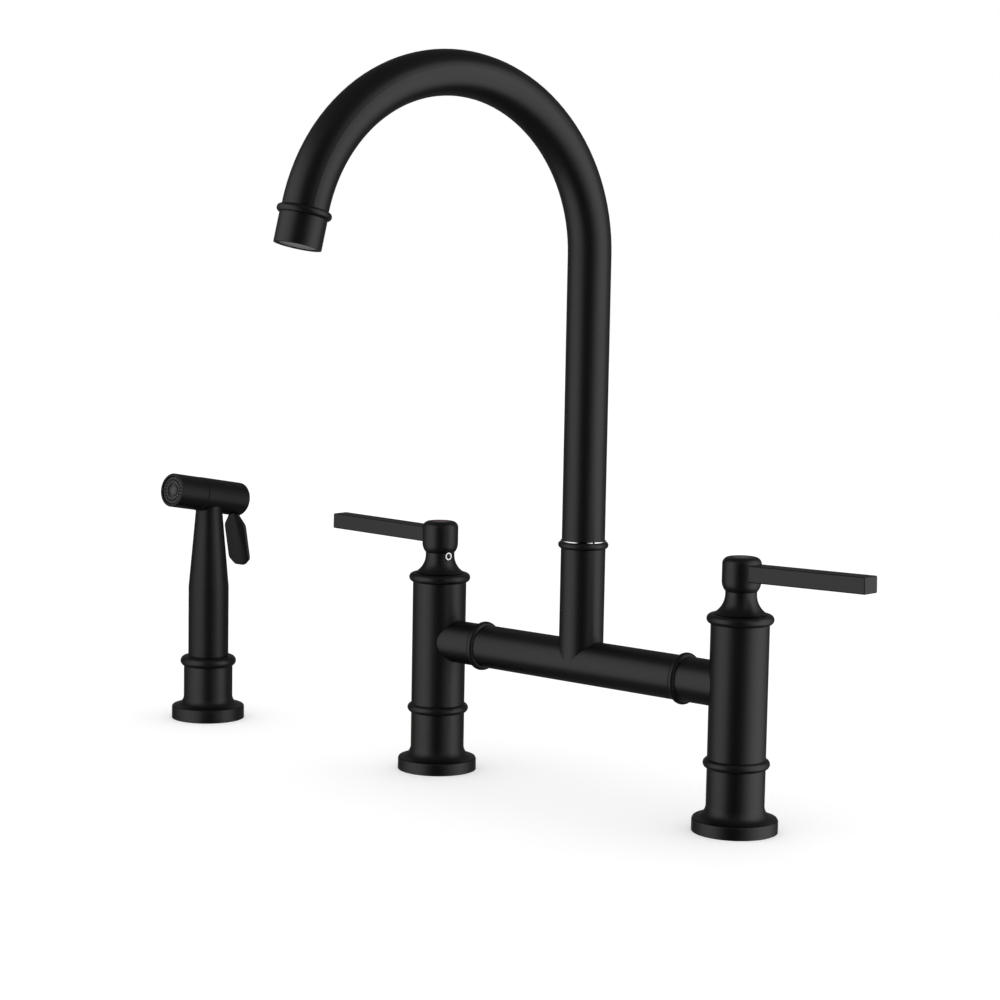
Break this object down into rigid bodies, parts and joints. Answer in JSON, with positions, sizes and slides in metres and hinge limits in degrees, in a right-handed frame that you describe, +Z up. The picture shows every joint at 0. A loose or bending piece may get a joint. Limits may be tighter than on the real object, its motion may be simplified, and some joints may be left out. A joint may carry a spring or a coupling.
{
  "type": "bridge kitchen faucet",
  "caption": "Bridge kitchen faucet with two lever valves, a tall swivelling gooseneck spout and a separate side sprayer with a trigger in its own deck holder.",
  "frame": {"origin": "on the worktop's surface, midway between the two valve columns", "axes": "+Z up, +X along the bridge to the right-hand valve, -Y towards the user"},
  "size_m": [0.4982, 0.2189, 0.4466],
  "materials": {
    "matte_black": "matte black coating",
    "brass": "machined",
    "stainless": "plain",
    "chrome": "polished",
    "rubber": "moulded",
    "plastic_black": "moulded",
    "plastic_grey": "moulded",
    "ceramic": "lapped ceramic"
  },
  "bodies": {
    "deck_set": {"backing_gaskets": "rubber", "bridge_tee": "matte_black", "clamp_washers": "stainless", "deck_gaskets": "rubber", "diverter_body": "brass", "fixed_discs": "ceramic", "holder_flange": "matte_black", "holder_liner": "plastic_black", "holder_nut": "brass", "holder_ring": "matte_black", "holder_shank": "brass", "left_base_flange": "matte_black", "left_bonnet_ring": "matte_black", "left_cartridge_body": "brass", "left_collar_ring": "matte_black", "left_shank": "brass", "left_union_ring": "matte_black", "left_valve_body": "matte_black", "lock_nuts": "brass", "right_base_flange": "matte_black", "right_bonnet_ring": "matte_black", "right_cartridge_body": "brass", "right_collar_ring": "matte_black", "right_shank": "brass", "right_union_ring": "matte_black", "right_valve_body": "matte_black", "seat_seals": "rubber", "sprayer_outlet": "brass", "swivel_ring": "matte_black", "swivel_washer": "chrome", "union_o_rings": "rubber"},
    "left_handle": {"left_handle_hub": "matte_black", "left_lever": "matte_black", "left_handle_screw": "stainless", "left_cartridge_stem": "brass", "left_moving_disc": "ceramic"},
    "right_handle": {"right_handle_hub": "matte_black", "right_lever": "matte_black", "right_handle_screw": "stainless", "right_cartridge_stem": "brass", "right_moving_disc": "ceramic"},
    "spout": {"spout_tube": "matte_black", "spout_tail": "brass", "swivel_o_rings": "rubber", "tip_ring": "matte_black", "aerator_housing": "matte_black", "aerator_insert": "plastic_grey", "aerator_washer": "rubber"},
    "wand": {"wand_handle": "matte_black", "hose_nipple": "brass", "spray_head": "matte_black", "spray_barrel": "matte_black", "spray_face": "plastic_grey", "valve_spring": "stainless", "trigger_pin": "stainless"},
    "trigger": {"trigger": "matte_black"},
    "spray_valve": {"spray_valve": "brass"},
    "diverter": {"diverter_poppet": "plastic_grey"}
  },
  "joints": [
    {"name": "left_handle_turn", "type": "hinge", "parent": "deck_set", "child": "left_handle", "pos_m": [-0.1016, 0, 0.1313], "axis": [0, 0, 1], "range_deg": [0, 90]},
    {"name": "right_handle_turn", "type": "hinge", "parent": "deck_set", "child": "right_handle", "pos_m": [0.1016, 0, 0.1313], "axis": [0, 0, 1], "range_deg": [-90, 0]},
    {"name": "spout_swivel", "type": "hinge", "parent": "deck_set", "child": "spout", "pos_m": [0, 0, 0.138], "axis": [0, 0, 1], "continuous": true},
    {"name": "wand_lift", "type": "slide", "parent": "deck_set", "child": "wand", "axis": [0, 0, 1], "range_m": [0, 0.16]},
    {"name": "trigger_pull", "type": "hinge", "parent": "wand", "child": "trigger", "pos_m": [-0.298, 0.02377, 0.13875], "axis": [-1, 0, 0], "range_deg": [0, 12], "stiffness_Nm_per_rad": 0.5, "springref_deg": -11.46},
    {"name": "valve_push", "type": "slide", "parent": "wand", "child": "spray_valve", "axis": [0, -0.9857, 0.1685], "range_m": [0, 0.0011]},
    {"name": "diverter_lift", "type": "slide", "parent": "deck_set", "child": "diverter", "axis": [0, 0, 1], "range_m": [0, 0.0027]}
  ],
  "couplings": [
    {"joint": "valve_push", "follows": "trigger_pull", "m_per_rad": 0.0049}
  ]
}
